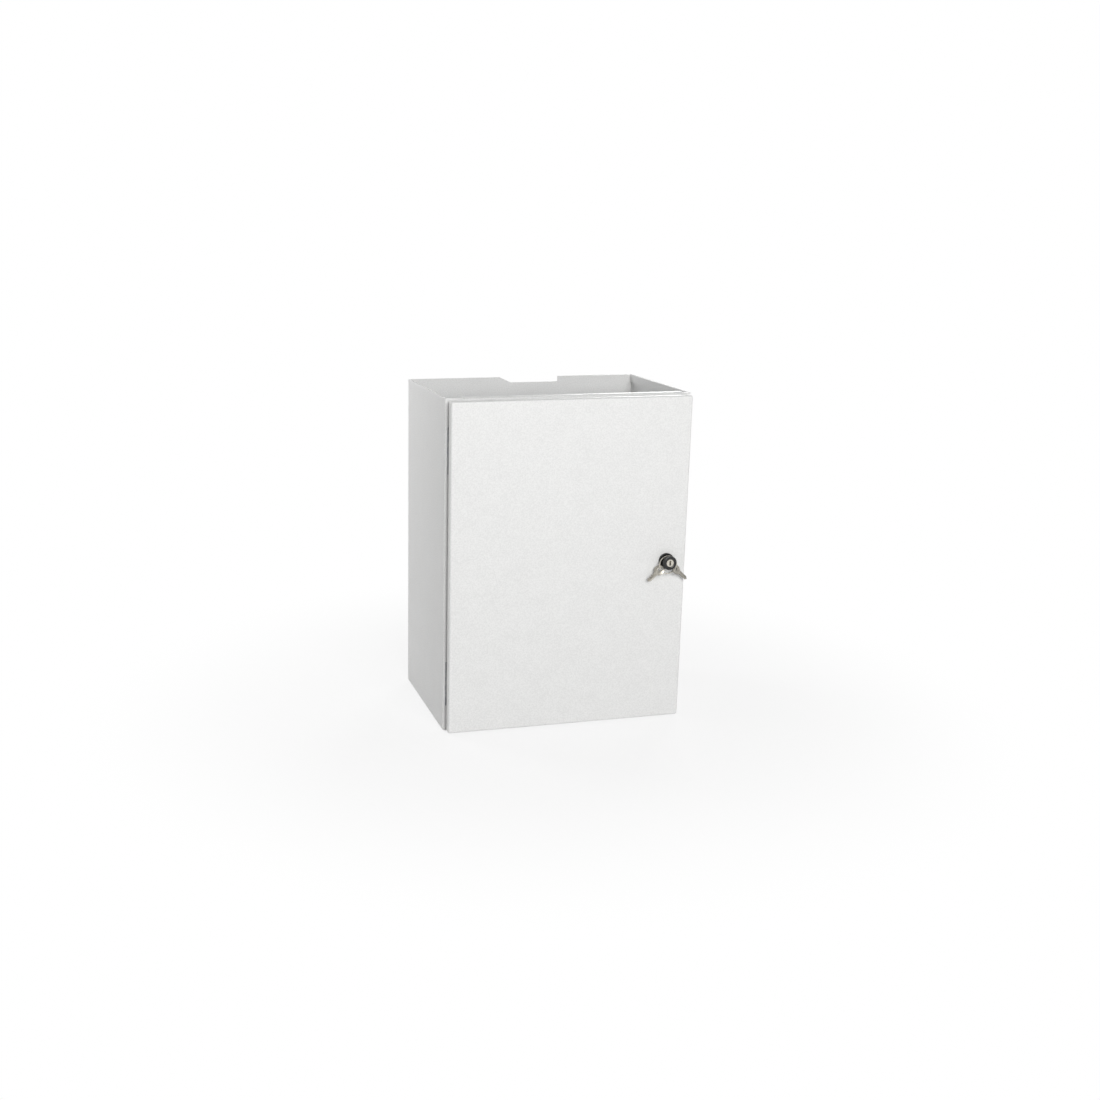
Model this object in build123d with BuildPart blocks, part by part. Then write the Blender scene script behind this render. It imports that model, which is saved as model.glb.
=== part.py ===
from build123d import *
import math
import os

os.makedirs("parts", exist_ok=True)

# Steel wall enclosure in millimetres: x to the right, y into the wall, z up, the wall plane at y = 0.
# Case: one folded wrap, a welded rear wall and a front rail, open at the top
case_width = 300.0
case_height = 400.0
case_depth = 184.5
sheet = 1.5
corner_radius = 4.0
fold_radius = 2.5
inner_fold = 1.0
hem_depth = 10.0
hem_round = 1.3

# Front rim, with a lip that stands forward into the door
rim_width = 10.0
hinge_rim_width = 22.0
lip_height = 9.0
rail_return = 10.0

# Cable notch in the rear wall's top edge
notch_width = 78.0
notch_slope = 15.0
notch_depth = 7.0
notch_centre = 8.0
notch_round = 1.5

# Wall fixing holes
wall_hole_side = 20.0
wall_hole_end = 35.0
wall_hole_radius = 4.25

# Door: a flat pan that stands in front of the rim
door_gap = 7.0
door_depth = 8.5
door_inset_side = 3.5
door_inset_end = 2.0
door_corner = 3.0
seal_width = 8.0
seal_gap = 0.3
seal_round = 1.5

# Concealed hinges, each with two folded leaves and a pin
hinge_from_end = 60.0
knuckle_radius = 3.5
hinge_pin_radius = 1.95
pin_clearance = 0.05
pin_head_gap = 0.3
pin_head = 1.2
knuckle_gap = 0.5
knuckle_end_gap = 0.3
leaf = 1.5
body_knuckle_length = 20.0
door_knuckle_length = 12.0
strap_gap = 0.75
foot_length = 54.0
foot_screw_pitch = 38.0
foot_screw_back = 8.0
foot_margin = 0.5
door_leaf_length = 68.0
door_leaf_width = 8.5
door_stud_pitch = 57.0
door_stud_offset = 4.0
hinge_screw_radius = 2.0
hinge_screw_head_radius = 3.4
hinge_screw_length = 9.0
hinge_nut_radius = 4.0
hinge_nut_height = 3.2
hinge_stud_tail = 1.2
hole_clearance = 0.2
thread_clearance = 0.1

# Cam lock: housing with a round collar, plug, cam and screw
lock_edge = 25.0
lock_thread_radius = 8.0
lock_flange_radius = 9.5
lock_flange = 2.0
lock_neck_radius = 6.5
lock_neck = 7.6
lock_head_radius = 8.5
lock_head = 3.0
lock_head_chamfer = 0.8
lock_washer_thickness = 1.0
lock_nut_radius = 12.0
lock_nut_height = 5.0
plug_radius = 4.5
plug_clearance = 0.05
plug_recess = 0.4
plug_square = 6.4
key_slot_width = 1.9
key_slot_height = 6.0
key_slot_depth = 14.0
cam = 2.5
cam_width = 13.0
cam_reach = 21.0
cam_rim_gap = 0.3
cam_housing_gap = 0.5
cam_hub_radius = 8.0
cam_tip_round = 3.2
cam_clearance = 0.1
cam_washer_radius = 6.0
cam_washer_thickness = 1.0
cam_screw_radius = 2.0
cam_screw_grip = 6.0
cam_screw_head_radius = 4.0
cam_screw_head = 2.6
cam_screw_chamfer = 1.1
screw_end_gap = 0.2

# Two keys that hang on a split ring round the lock's neck
ring_width = 1.2
ring_thickness = 1.4
ring_chamfer = 0.35
ring_gap = 0.15
key_fan = 48.0
key_tilt = 40.0
key_start = 8.5
key_bow_radius = 6.2
key_length = 25.0
key_thickness = 1.4
key_blade = 5.0
key_point = 2.2
key_hole_radius = 2.6
key_hole_margin = 1.6
key_cuts = 3
key_cut_depth = 1.0
key_cut_pitch = 3.0

# Mounting plate on four studs with spacers, washers and nuts
plate_edge = 30.0
plate = 2.0
plate_return = 8.0
plate_stand_off = 14.5
stud_edge = 17.5
stud_radius = 4.0
stud_tail = 3.0
stud_chamfer = 0.6
stud_hole_clearance = 0.3
spacer_radius = 7.5
nut_radius = 7.3
nut_height = 6.5
washer_radius = 8.0
washer = 1.6

# Gland plate over the cable opening in the bottom
gland_side_edge = 40.0
gland_back_edge = 35.0
gland_front_edge = 29.5
gland_border = 20.0
gland_round = 4.0
gland_plate_thickness = 2.0
gland_seal_thickness = 2.0
gland_stud_radius = 2.5
gland_stud_tail = 2.0
gland_nut_radius = 4.6
gland_nut_height = 4.0

# Earth studs with flanged nuts, one on the rear wall and one on the door
earth_stud_radius = 3.0
earth_stud_length = 14.0
earth_nut_radius = 5.7
earth_nut_height = 5.0
earth_flange_radius = 6.5
earth_flange = 1.2
earth_edge = 60.0
earth_below_plate = 13.0
door_earth_side = 90.0
door_earth_end = 40.0
door_earth_length = 9.0

# Planes and lines worked out from the sizes above
half_width = case_width / 2
half_height = case_height / 2
rim_plane = -case_depth
rim_back = rim_plane + sheet
lip_tip = rim_plane - lip_height
front_plane = rim_plane - door_gap - door_depth
skin_back = front_plane + sheet
lip_left = -half_width + hinge_rim_width
lip_right = half_width - rim_width
lip_bottom = -half_height + rim_width
lip_top = half_height - rim_width
lip_centre_x = (lip_left + lip_right) / 2
wall_hole_pitch_x = case_width - 2 * wall_hole_side
wall_hole_pitch_z = case_height - 2 * wall_hole_end
door_width = case_width - 2 * door_inset_side
door_height = case_height - 2 * door_inset_end
seal_left = lip_left + sheet / 2 - seal_width / 2
hinge_x = -half_width + door_inset_side + sheet + knuckle_gap + knuckle_radius
hinge_y = skin_back + knuckle_gap + knuckle_radius
hinge_height = half_height - hinge_from_end
strap_right = seal_left - strap_gap
foot_screw_x = strap_right - foot_screw_back
foot_screws = [
    (foot_screw_x, side * hinge_height + end * foot_screw_pitch / 2) for side in (-1, 1) for end in (-1, 1)
]
lock_x = half_width - door_inset_side - lock_edge


def same(a, b):
    """Whether two lengths agree to within a hundredth of a millimetre."""
    return abs(a - b) < 0.01


def facing_front(y):
    """A plane parallel to the wall at depth y, looking out of it: sketch x is x and sketch y is z."""
    return Plane.XZ.offset(-y)


# Case wrap: left wall, bottom and right wall in one sheet, with the rim and its lip folded on the front edge
lip_width = lip_right - lip_left
hem_front = rim_plane + fold_radius
hem_middle = half_height - hem_depth / 2
gland_width = case_width - 2 * gland_side_edge
gland_length = case_depth - gland_back_edge - gland_front_edge
gland_centre_y = -gland_back_edge - gland_length / 2
gland_opening_x = gland_width - 2 * gland_border
gland_opening_y = gland_length - 2 * gland_border
with BuildPart() as case_wrap:
    with BuildSketch(facing_front(0)) as wrap_walls:
        with Locations((0, -hem_depth / 2)):
            Rectangle(case_width, case_height - hem_depth)
        fillet(wrap_walls.vertices().group_by(Axis.Y)[0], corner_radius)
        with Locations((0, sheet - hem_depth / 2)):
            Rectangle(case_width - 2 * sheet, case_height - hem_depth, mode=Mode.SUBTRACT)
        fillet(wrap_walls.vertices().group_by(Axis.Y)[1], corner_radius - sheet)
    extrude(amount=case_depth)
    with BuildSketch(facing_front(hem_front)):
        for side in (-1, 1):
            with Locations((side * (half_width - sheet / 2), hem_middle)):
                Rectangle(sheet, hem_depth)
    extrude(amount=fold_radius)
    with BuildSketch(facing_front(rim_back)) as rim_outline:
        Rectangle(case_width, case_height)
        fillet(rim_outline.vertices().group_by(Axis.Y)[0], corner_radius)
        with Locations((lip_centre_x, (lip_bottom + sheet + half_height) / 2)):
            Rectangle(lip_width - 2 * sheet, half_height - lip_bottom - sheet, mode=Mode.SUBTRACT)
        with Locations((lip_centre_x, (lip_top - sheet + half_height) / 2)):
            Rectangle(lip_width, half_height - lip_top + sheet, mode=Mode.SUBTRACT)
    extrude(amount=sheet)
    rim_face = case_wrap.faces().sort_by(Axis.Y)[0]
    outer_fold = rim_face.edges().filter_by(
        lambda edge: abs(edge.center().X) > half_width - fold_radius
        or edge.center().Z < -half_height + fold_radius
    )
    fillet(outer_fold, fold_radius)
    with BuildSketch(facing_front(rim_back)):
        with Locations((lip_centre_x, (lip_bottom + lip_top - sheet) / 2)):
            Rectangle(lip_width, lip_top - sheet - lip_bottom)
        with Locations((lip_centre_x, (lip_bottom + lip_top) / 2)):
            Rectangle(lip_width - 2 * sheet, lip_top - lip_bottom - 2 * sheet, mode=Mode.SUBTRACT)
    extrude(amount=sheet + lip_height)
    # Closed hems, the sheet folded flat on itself, stiffen the open top edges of both side walls
    with BuildSketch(facing_front(0)) as side_hems:
        for side in (-1, 1):
            with Locations((side * (half_width - sheet), hem_middle)):
                Rectangle(2 * sheet, hem_depth)
        fillet(side_hems.vertices().group_by(Axis.Y)[-1], hem_round)
    extrude(amount=-hem_front)
    with BuildSketch(Plane.XY.offset(-half_height)):
        with Locations((0, gland_centre_y)):
            RectangleRounded(gland_opening_x, gland_opening_y, gland_round)
    extrude(amount=sheet, mode=Mode.SUBTRACT)
    with BuildSketch(facing_front(rim_back)):
        with Locations(*foot_screws):
            Circle(hinge_screw_radius + hole_clearance)
    extrude(amount=sheet, mode=Mode.SUBTRACT)
case_wrap.part.label = "case_wrap"
export_step(case_wrap.part, "parts/case_wrap.step")

# Rear wall: a flat sheet welded between the walls and their hems, with the notch and four fixing holes
with BuildPart() as rear_wall:
    with BuildSketch(facing_front(0)) as rear_outline:
        with Locations((0, (sheet - hem_depth) / 2)):
            Rectangle(case_width - 2 * sheet, case_height - sheet - hem_depth)
        fillet(rear_outline.vertices().group_by(Axis.Y)[0], corner_radius)
        with Locations((0, hem_middle)):
            Rectangle(case_width - 4 * sheet, hem_depth)
        with GridLocations(wall_hole_pitch_x, wall_hole_pitch_z, 2, 2):
            Circle(wall_hole_radius, mode=Mode.SUBTRACT)
    extrude(amount=sheet)
    notch_left = notch_centre - notch_width / 2
    notch_right = notch_centre + notch_width / 2
    notch_floor = half_height - notch_depth
    slope_per_mm = notch_slope / notch_depth
    with BuildSketch(facing_front(0)) as notch:
        with BuildLine():
            Polyline(
                (notch_left - slope_per_mm * sheet, half_height + sheet),
                (notch_left + notch_slope, notch_floor),
                (notch_right, notch_floor),
                (notch_right, half_height + sheet),
                close=True,
            )
        make_face()
        fillet(notch.vertices().group_by(Axis.Y)[0], notch_round)
    extrude(amount=sheet, mode=Mode.SUBTRACT)
rear_wall.part.label = "rear_wall"
export_step(rear_wall.part, "parts/rear_wall.step")

# Top rail: the rim's fourth side, a strip folded to a flange, the lip and a return over the open top
with BuildPart() as top_rail:
    with BuildSketch(Plane.YZ.offset(lip_left)) as rail_section:
        with BuildLine():
            Polyline(
                (rim_plane + rail_return, half_height),
                (rim_plane, half_height),
                (rim_plane, lip_top),
                (lip_tip, lip_top),
                (lip_tip, lip_top - sheet),
                (rim_back, lip_top - sheet),
                (rim_back, half_height - sheet),
                (rim_plane + rail_return, half_height - sheet),
                close=True,
            )
        make_face()
        corners = rail_section.vertices()
        fillet(corners.filter_by(lambda v: same(v.X, rim_plane) and same(v.Y, half_height)), fold_radius)
        inner_corner = corners.filter_by(lambda v: same(v.X, rim_back) and same(v.Y, lip_top - sheet))
        fillet(inner_corner, fold_radius)
    extrude(amount=lip_width)
top_rail.part.label = "top_rail"
export_step(top_rail.part, "parts/top_rail.step")

# Mounting plate: galvanised sheet with its long edges folded back, on four welded studs in the rear wall
plate_back = -sheet - plate_stand_off
plate_front = plate_back - plate
plate_width = case_width - 2 * plate_edge
plate_height = case_height - 2 * plate_edge
stud_pitch_x = plate_width - 2 * stud_edge
stud_pitch_z = plate_height - 2 * stud_edge
with BuildPart() as mounting_plate:
    with BuildSketch(Plane.XY.offset(-plate_height / 2)) as plate_section:
        with Locations((0, plate_front + (plate + plate_return) / 2)):
            Rectangle(plate_width, plate + plate_return)
        fillet(plate_section.vertices().group_by(Axis.Y)[0], plate + inner_fold)
        with Locations((0, plate_back + plate_return / 2)):
            Rectangle(plate_width - 2 * plate, plate_return, mode=Mode.SUBTRACT)
        fillet(plate_section.vertices().filter_by(lambda v: same(v.Y, plate_back)), inner_fold)
    extrude(amount=plate_height)
    with BuildSketch(facing_front(plate_back)):
        with GridLocations(stud_pitch_x, stud_pitch_z, 2, 2):
            Circle(stud_radius + stud_hole_clearance)
    extrude(amount=plate, mode=Mode.SUBTRACT)
mounting_plate.part.label = "mounting_plate"
export_step(mounting_plate.part, "parts/mounting_plate.step")

with BuildPart() as plate_studs:
    with BuildSketch(facing_front(-sheet)):
        with GridLocations(stud_pitch_x, stud_pitch_z, 2, 2):
            Circle(stud_radius)
    extrude(amount=plate_stand_off + plate + washer + nut_height + stud_tail)
    chamfer(plate_studs.faces().group_by(Axis.Y)[0].edges(), stud_chamfer)
plate_studs.part.label = "plate_studs"
export_step(plate_studs.part, "parts/plate_studs.step")

with BuildPart() as plate_spacers:
    with BuildSketch(facing_front(-sheet)):
        with GridLocations(stud_pitch_x, stud_pitch_z, 2, 2):
            Circle(spacer_radius)
            Circle(stud_radius + stud_hole_clearance, mode=Mode.SUBTRACT)
    extrude(amount=plate_stand_off)
plate_spacers.part.label = "plate_spacers"
export_step(plate_spacers.part, "parts/plate_spacers.step")

with BuildPart() as plate_washers:
    with BuildSketch(facing_front(plate_front)):
        with GridLocations(stud_pitch_x, stud_pitch_z, 2, 2):
            Circle(washer_radius)
            Circle(stud_radius + stud_hole_clearance, mode=Mode.SUBTRACT)
    extrude(amount=washer)
plate_washers.part.label = "plate_washers"
export_step(plate_washers.part, "parts/plate_washers.step")

with BuildPart() as plate_nuts:
    with BuildSketch(facing_front(plate_front - washer)):
        with GridLocations(stud_pitch_x, stud_pitch_z, 2, 2):
            RegularPolygon(nut_radius, 6)
            Circle(stud_radius + thread_clearance, mode=Mode.SUBTRACT)
    extrude(amount=nut_height)
plate_nuts.part.label = "plate_nuts"
export_step(plate_nuts.part, "parts/plate_nuts.step")

# Gland plate: a removable blank for cable glands, on a flat seal inside the bottom, held by four studs and nuts
floor_level = -half_height + sheet
gland_plate_level = floor_level + gland_seal_thickness
gland_nut_level = gland_plate_level + gland_plate_thickness
gland_pitch_x = gland_opening_x + gland_border
gland_pitch_y = gland_opening_y + gland_border
with BuildPart() as gland_seal:
    with BuildSketch(Plane.XY.offset(floor_level)):
        with Locations((0, gland_centre_y)):
            RectangleRounded(gland_width, gland_length, gland_round)
            RectangleRounded(gland_opening_x, gland_opening_y, gland_round, mode=Mode.SUBTRACT)
            with GridLocations(gland_pitch_x, gland_pitch_y, 2, 2):
                Circle(gland_stud_radius + stud_hole_clearance, mode=Mode.SUBTRACT)
    extrude(amount=gland_seal_thickness)
gland_seal.part.label = "gland_seal"
export_step(gland_seal.part, "parts/gland_seal.step")

with BuildPart() as gland_plate:
    with BuildSketch(Plane.XY.offset(gland_plate_level)):
        with Locations((0, gland_centre_y)):
            RectangleRounded(gland_width, gland_length, gland_round)
            with GridLocations(gland_pitch_x, gland_pitch_y, 2, 2):
                Circle(gland_stud_radius + stud_hole_clearance, mode=Mode.SUBTRACT)
    extrude(amount=gland_plate_thickness)
gland_plate.part.label = "gland_plate"
export_step(gland_plate.part, "parts/gland_plate.step")

with BuildPart() as gland_studs:
    with BuildSketch(Plane.XY.offset(floor_level)):
        with Locations((0, gland_centre_y)):
            with GridLocations(gland_pitch_x, gland_pitch_y, 2, 2):
                Circle(gland_stud_radius)
    extrude(amount=gland_nut_level - floor_level + gland_nut_height + gland_stud_tail)
gland_studs.part.label = "gland_studs"
export_step(gland_studs.part, "parts/gland_studs.step")

with BuildPart() as gland_nuts:
    with BuildSketch(Plane.XY.offset(gland_nut_level)):
        with Locations((0, gland_centre_y)):
            with GridLocations(gland_pitch_x, gland_pitch_y, 2, 2):
                RegularPolygon(gland_nut_radius, 6)
                Circle(gland_stud_radius + thread_clearance, mode=Mode.SUBTRACT)
    extrude(amount=gland_nut_height)
gland_nuts.part.label = "gland_nuts"
export_step(gland_nuts.part, "parts/gland_nuts.step")

# Earth stud on the rear wall, below the mounting plate, with its flanged nut
earth_x = -half_width + earth_edge
earth_z = -plate_height / 2 - earth_below_plate
with BuildPart() as earth_stud:
    with BuildSketch(facing_front(-sheet)):
        with Locations((earth_x, earth_z)):
            Circle(earth_stud_radius)
    extrude(amount=earth_stud_length)
    chamfer(earth_stud.faces().sort_by(Axis.Y)[0].edges(), stud_chamfer)
earth_stud.part.label = "earth_stud"
export_step(earth_stud.part, "parts/earth_stud.step")

with BuildPart() as earth_nut:
    with BuildSketch(facing_front(-sheet)):
        with Locations((earth_x, earth_z)):
            Circle(earth_flange_radius)
    extrude(amount=earth_flange)
    with BuildSketch(facing_front(-sheet)):
        with Locations((earth_x, earth_z)):
            RegularPolygon(earth_nut_radius, 6)
    extrude(amount=earth_nut_height)
    with BuildSketch(facing_front(-sheet)):
        with Locations((earth_x, earth_z)):
            Circle(earth_stud_radius + thread_clearance)
    extrude(amount=earth_nut_height, mode=Mode.SUBTRACT)
earth_nut.part.label = "earth_nut"
export_step(earth_nut.part, "parts/earth_nut.step")

# Hinge leaves on the case: a foot on the rim and a strap that reaches round the door's edge to the knuckle.
# The strap leaves the knuckle square to the door's edge, so the door's flange swings past it without a notch.
bore_radius = hinge_pin_radius + pin_clearance
foot_left = -half_width + fold_radius + foot_margin
foot_face = rim_plane - leaf
with BuildPart() as hinge_case_leaves:
    for side in (-1, 1):
        with BuildSketch(Plane.XY.offset(side * hinge_height - foot_length / 2)):
            with Locations(((foot_left + strap_right) / 2, rim_plane - leaf / 2)):
                Rectangle(strap_right - foot_left, leaf)
        extrude(amount=foot_length)
        with BuildSketch(Plane.XY.offset(side * hinge_height - body_knuckle_length / 2)) as strap_section:
            with BuildLine():
                Polyline(
                    (hinge_x, hinge_y - leaf / 2),
                    (strap_right, hinge_y - leaf / 2),
                    (strap_right, rim_plane),
                    (strap_right - leaf, rim_plane),
                    (strap_right - leaf, hinge_y + leaf / 2),
                    (hinge_x, hinge_y + leaf / 2),
                    close=True,
                )
            make_face()
            strap_corners = strap_section.vertices().filter_by(lambda v: abs(v.Y - hinge_y) < leaf)
            fillet(strap_corners.filter_by(lambda v: same(v.X, strap_right)), leaf + inner_fold)
            strap_corners = strap_section.vertices().filter_by(lambda v: abs(v.Y - hinge_y) < leaf)
            fillet(strap_corners.filter_by(lambda v: same(v.X, strap_right - leaf)), inner_fold)
            with Locations((hinge_x, hinge_y)):
                Circle(knuckle_radius)
                Circle(bore_radius, mode=Mode.SUBTRACT)
        extrude(amount=body_knuckle_length)
    with Locations(*[facing_front(foot_face) * Pos(x, z) for x, z in foot_screws]):
        CounterSinkHole(
            hinge_screw_radius + hole_clearance,
            hinge_screw_head_radius + hole_clearance,
            depth=leaf,
        )
hinge_case_leaves.part.label = "hinge_case_leaves"
export_step(hinge_case_leaves.part, "parts/hinge_case_leaves.step")

# Hinge pins, each with a small head on top, that stand in the case's knuckles
door_knuckle_end = body_knuckle_length / 2 + knuckle_end_gap + door_knuckle_length
pin_head_radius = knuckle_radius + knuckle_gap - leaf - pin_head_gap
with BuildPart() as hinge_pins:
    for side in (-1, 1):
        pin_bottom = side * hinge_height - door_knuckle_end
        pin_top = side * hinge_height + door_knuckle_end + knuckle_end_gap
        with BuildSketch(Plane.XY.offset(pin_bottom)):
            with Locations((hinge_x, hinge_y)):
                Circle(hinge_pin_radius)
        extrude(amount=pin_top - pin_bottom)
        with BuildSketch(Plane.XY.offset(pin_top)):
            with Locations((hinge_x, hinge_y)):
                Circle(pin_head_radius)
        extrude(amount=pin_head)
hinge_pins.part.label = "hinge_pins"
export_step(hinge_pins.part, "parts/hinge_pins.step")

# Countersunk screws through the hinge feet and the rim, with nuts behind it
screw_cone = hinge_screw_head_radius - hinge_screw_radius
into_wall = (Align.CENTER, Align.CENTER, Align.MAX)
with BuildPart() as hinge_screws:
    with Locations(*[facing_front(foot_face) * Pos(x, z) for x, z in foot_screws]):
        Cone(hinge_screw_radius, hinge_screw_head_radius, screw_cone, align=into_wall)
        Cylinder(hinge_screw_radius, hinge_screw_length, align=into_wall)
hinge_screws.part.label = "hinge_screws"
export_step(hinge_screws.part, "parts/hinge_screws.step")

with BuildPart() as hinge_screw_nuts:
    with BuildSketch(facing_front(rim_back + hinge_nut_height)):
        with Locations(*foot_screws):
            RegularPolygon(hinge_nut_radius, 6)
            Circle(hinge_screw_radius + thread_clearance, mode=Mode.SUBTRACT)
    extrude(amount=hinge_nut_height)
hinge_screw_nuts.part.label = "hinge_screw_nuts"
export_step(hinge_screw_nuts.part, "parts/hinge_screw_nuts.step")

# Door panel: a pan folded from one sheet, open towards the case
door_back = rim_plane - door_gap
with BuildPart() as door_panel:
    with BuildSketch(facing_front(door_back)):
        RectangleRounded(door_width, door_height, door_corner)
    extrude(amount=door_depth)
    fillet(door_panel.faces().sort_by(Axis.Y)[0].edges(), fold_radius)
    offset(amount=-sheet, openings=door_panel.faces().sort_by(Axis.Y)[-1])
    with BuildSketch(facing_front(skin_back)):
        with Locations((lock_x, 0)):
            Circle(lock_thread_radius + hole_clearance)
    extrude(amount=sheet, mode=Mode.SUBTRACT)
door_panel.part.label = "door_panel"
export_step(door_panel.part, "parts/door_panel.step")

# Door seal: soft foam foamed onto the back of the skin, in line with the lip
lip_line_width = lip_width - sheet
lip_line_height = lip_top - lip_bottom - sheet
with BuildPart() as door_seal:
    with BuildSketch(facing_front(lip_tip - seal_gap)):
        with Locations((lip_centre_x, 0)):
            RectangleRounded(lip_line_width + seal_width, lip_line_height + seal_width, seal_width)
            Rectangle(lip_line_width - seal_width, lip_line_height - seal_width, mode=Mode.SUBTRACT)
    extrude(amount=lip_tip - seal_gap - skin_back)
    fillet(door_seal.faces().sort_by(Axis.Y)[-1].edges(), seal_round)
door_seal.part.label = "door_seal"
export_step(door_seal.part, "parts/door_seal.step")

# Hinge leaves on the door: two knuckles each, either side of the case's knuckle, on a leaf against the skin
leaf_left = -half_width + door_inset_side + fold_radius + knuckle_gap
leaf_right = hinge_x + door_leaf_width
door_stud_x = hinge_x + door_stud_offset
door_studs = [
    (door_stud_x, side * hinge_height + end * door_stud_pitch / 2) for side in (-1, 1) for end in (-1, 1)
]
clear_of_knuckle = hinge_x + knuckle_radius + knuckle_gap
with BuildPart() as hinge_door_leaves:
    for side in (-1, 1):
        with BuildSketch(facing_front(skin_back + leaf)):
            with Locations(((leaf_left + leaf_right) / 2, side * hinge_height)):
                Rectangle(leaf_right - leaf_left, door_leaf_length)
            with Locations(((leaf_left + clear_of_knuckle) / 2, side * hinge_height)):
                Rectangle(
                    clear_of_knuckle - leaf_left,
                    body_knuckle_length + 2 * knuckle_end_gap,
                    mode=Mode.SUBTRACT,
                )
        extrude(amount=leaf)
        for start in (-door_knuckle_end, door_knuckle_end - door_knuckle_length):
            with BuildSketch(Plane.XY.offset(side * hinge_height + start)):
                with Locations((hinge_x, hinge_y)):
                    Circle(knuckle_radius)
            extrude(amount=door_knuckle_length)
        with BuildSketch(Plane.XY.offset(side * hinge_height - door_knuckle_end)):
            with Locations((hinge_x, hinge_y)):
                Circle(bore_radius)
        extrude(amount=2 * door_knuckle_end, mode=Mode.SUBTRACT)
    with BuildSketch(facing_front(skin_back + leaf)):
        with Locations(*door_studs):
            Circle(hinge_screw_radius + hole_clearance)
    extrude(amount=leaf, mode=Mode.SUBTRACT)
hinge_door_leaves.part.label = "hinge_door_leaves"
export_step(hinge_door_leaves.part, "parts/hinge_door_leaves.step")

# Studs welded to the skin, and nuts, hold the door's hinge leaves
door_stud_end = skin_back + leaf + hinge_nut_height + hinge_stud_tail
with BuildPart() as door_hinge_studs:
    with BuildSketch(facing_front(door_stud_end)):
        with Locations(*door_studs):
            Circle(hinge_screw_radius)
    extrude(amount=door_stud_end - skin_back)
door_hinge_studs.part.label = "door_hinge_studs"
export_step(door_hinge_studs.part, "parts/door_hinge_studs.step")

with BuildPart() as door_hinge_nuts:
    with BuildSketch(facing_front(skin_back + leaf + hinge_nut_height)):
        with Locations(*door_studs):
            RegularPolygon(hinge_nut_radius, 6)
            Circle(hinge_screw_radius + thread_clearance, mode=Mode.SUBTRACT)
    extrude(amount=hinge_nut_height)
door_hinge_nuts.part.label = "door_hinge_nuts"
export_step(door_hinge_nuts.part, "parts/door_hinge_nuts.step")

# Earth stud on the back of the door, with its flanged nut
door_earth_x = -half_width + door_earth_side
door_earth_z = -half_height + door_earth_end
with BuildPart() as door_earth_stud:
    with BuildSketch(facing_front(skin_back + door_earth_length)):
        with Locations((door_earth_x, door_earth_z)):
            Circle(earth_stud_radius)
    extrude(amount=door_earth_length)
door_earth_stud.part.label = "door_earth_stud"
export_step(door_earth_stud.part, "parts/door_earth_stud.step")

with BuildPart() as door_earth_nut:
    with BuildSketch(facing_front(skin_back + earth_flange)):
        with Locations((door_earth_x, door_earth_z)):
            Circle(earth_flange_radius)
    extrude(amount=earth_flange)
    with BuildSketch(facing_front(skin_back + earth_nut_height)):
        with Locations((door_earth_x, door_earth_z)):
            RegularPolygon(earth_nut_radius, 6)
    extrude(amount=earth_nut_height)
    with BuildSketch(facing_front(skin_back + earth_nut_height)):
        with Locations((door_earth_x, door_earth_z)):
            Circle(earth_stud_radius + thread_clearance)
    extrude(amount=earth_nut_height, mode=Mode.SUBTRACT)
door_earth_nut.part.label = "door_earth_nut"
export_step(door_earth_nut.part, "parts/door_earth_nut.step")

# Lock: the rubber washer under its flange
with BuildPart() as lock_washer:
    with BuildSketch(facing_front(front_plane)):
        with Locations((lock_x, 0)):
            Circle(lock_flange_radius)
            Circle(lock_thread_radius + hole_clearance, mode=Mode.SUBTRACT)
    extrude(amount=lock_washer_thickness)
lock_washer.part.label = "lock_washer"
export_step(lock_washer.part, "parts/lock_washer.step")

# Lock housing: thread through the door, flange, neck and the round collar at its face, bored for the plug
flange_back = front_plane - lock_washer_thickness
neck_back = flange_back - lock_flange
collar_back = neck_back - lock_neck
lock_face = collar_back - lock_head
cam_front = rim_back + cam_rim_gap
cam_back = cam_front + cam
housing_back = cam_front - cam_housing_gap
with BuildPart() as lock_housing:
    with BuildSketch(facing_front(housing_back)):
        with Locations((lock_x, 0)):
            Circle(lock_thread_radius)
    extrude(amount=housing_back - flange_back)
    with BuildSketch(facing_front(flange_back)):
        with Locations((lock_x, 0)):
            Circle(lock_flange_radius)
    extrude(amount=lock_flange)
    with BuildSketch(facing_front(neck_back)):
        with Locations((lock_x, 0)):
            Circle(lock_neck_radius)
    extrude(amount=lock_neck)
    with BuildSketch(facing_front(collar_back)):
        with Locations((lock_x, 0)):
            Circle(lock_head_radius)
    extrude(amount=lock_head)
    chamfer(lock_housing.faces().sort_by(Axis.Y)[0].edges(), lock_head_chamfer)
    with BuildSketch(facing_front(housing_back)):
        with Locations((lock_x, 0)):
            Circle(plug_radius + plug_clearance)
    extrude(amount=housing_back - lock_face, mode=Mode.SUBTRACT)
lock_housing.part.label = "lock_housing"
export_step(lock_housing.part, "parts/lock_housing.step")

with BuildPart() as lock_nut:
    with BuildSketch(facing_front(skin_back + lock_nut_height)):
        with Locations((lock_x, 0)):
            RegularPolygon(lock_nut_radius, 6)
            Circle(lock_thread_radius + thread_clearance, mode=Mode.SUBTRACT)
    extrude(amount=lock_nut_height)
lock_nut.part.label = "lock_nut"
export_step(lock_nut.part, "parts/lock_nut.step")

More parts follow.
